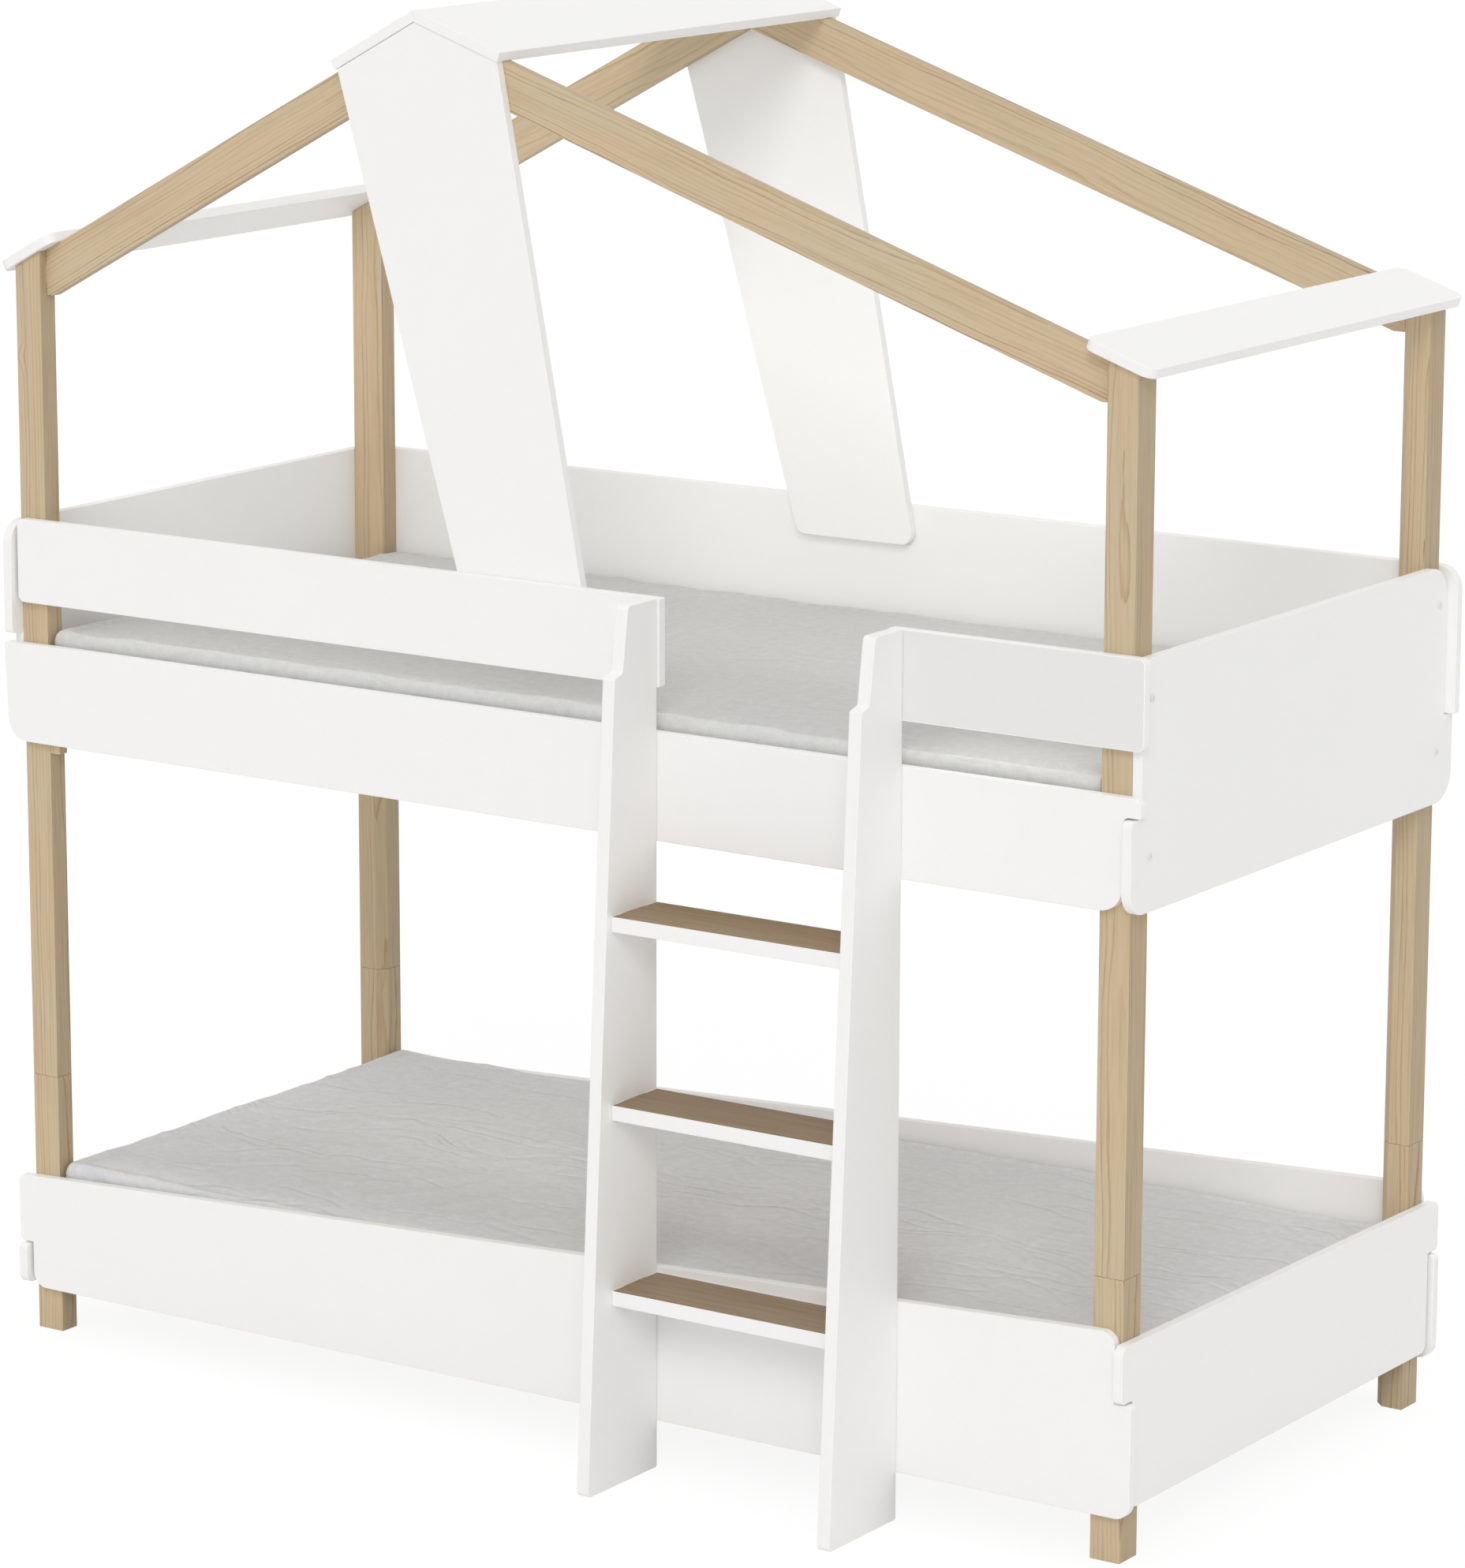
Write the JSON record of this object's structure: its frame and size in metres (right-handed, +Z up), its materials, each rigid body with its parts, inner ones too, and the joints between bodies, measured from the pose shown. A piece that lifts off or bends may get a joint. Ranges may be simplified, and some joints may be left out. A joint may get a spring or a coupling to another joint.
{
  "type": "bunk bed",
  "caption": "Bunk bed with a wooden post frame, white side boards that cross at the corners, guard boards, a ladder and an open house roof over the upper bed.",
  "frame": {"origin": "on the floor, under the middle of the whole bed with its ladder", "axes": "+Z up; +X along the bed towards the ladder's end; +Y from the ladder side to the back"},
  "size_m": [2.168, 1.1774, 2.2437],
  "materials": {
    "post_wood": "pale straight-grained wood, clear matt lacquer",
    "roof_wood": "pale straight-grained wood, clear matt lacquer",
    "base_wood": "bare sawn and planed softwood",
    "tread_wood": "brown stained wood with a white front edge",
    "white_board": "white satin lacquer on board",
    "mattress_fabric": "pale grey woven cover",
    "white_bolt": "white painted domed head",
    "steel_bolt": "zinc plated"
  },
  "bodies": {
    "frame": {"corner_block": "base_wood", "eaves_board_left": "white_board", "eaves_board_right": "white_board", "ladder_bolt_left_high": "steel_bolt", "ladder_bolt_left_low": "steel_bolt", "ladder_bolt_right_high": "steel_bolt", "ladder_bolt_right_low": "steel_bolt", "ladder_stile_left": "white_board", "ladder_stile_right": "white_board", "ladder_tread_1": "tread_wood", "ladder_tread_2": "tread_wood", "ladder_tread_3": "tread_wood", "lower_back_rail": "white_board", "lower_end_panel_left": "white_board", "lower_end_panel_right": "white_board", "lower_front_rail": "white_board", "lower_post_back_left": "post_wood", "lower_post_back_right": "post_wood", "lower_post_front_left": "post_wood", "lower_post_front_right": "post_wood", "panel_bolt_back_left_high": "white_bolt", "panel_bolt_back_left_low": "white_bolt", "panel_bolt_back_right_high": "white_bolt", "panel_bolt_back_right_low": "white_bolt", "panel_bolt_front_left_high": "white_bolt", "panel_bolt_front_left_low": "white_bolt", "panel_bolt_front_right_high": "white_bolt", "panel_bolt_front_right_low": "white_bolt", "post_dowel_back_left": "base_wood", "post_dowel_back_right": "base_wood", "post_dowel_front_left": "base_wood", "post_dowel_front_right": "base_wood", "rafter_back_left": "roof_wood", "rafter_back_right": "roof_wood", "rafter_front_left": "roof_wood", "rafter_front_right": "roof_wood", "ridge_board_left": "white_board", "ridge_board_right": "white_board", "slanted_board_back": "white_board", "slanted_board_front": "white_board", "slat_ledger_lower_back": "base_wood", "slat_ledger_lower_front": "base_wood", "slat_ledger_upper_back": "base_wood", "slat_ledger_upper_front": "base_wood", "slatted_base_lower": "base_wood", "slatted_base_upper": "base_wood", "upper_back_panel": "white_board", "upper_end_panel_left": "white_board", "upper_end_panel_right": "white_board", "upper_front_rail": "white_board", "upper_guard_long": "white_board", "upper_guard_short": "white_board", "upper_post_back_left": "post_wood", "upper_post_back_right": "post_wood", "upper_post_front_left": "post_wood", "upper_post_front_right": "post_wood"},
    "mattress_upper_body": {"mattress_upper": "mattress_fabric"},
    "mattress_lower_body": {"mattress_lower": "mattress_fabric"}
  },
  "joints": [
    {"name": "mattress_upper_lift", "type": "slide", "parent": "frame", "child": "mattress_upper_body", "axis": [0, 0, 1], "range_m": [0, 0.1]},
    {"name": "mattress_lower_lift", "type": "slide", "parent": "frame", "child": "mattress_lower_body", "axis": [0, 0, 1], "range_m": [0, 0.3]}
  ]
}
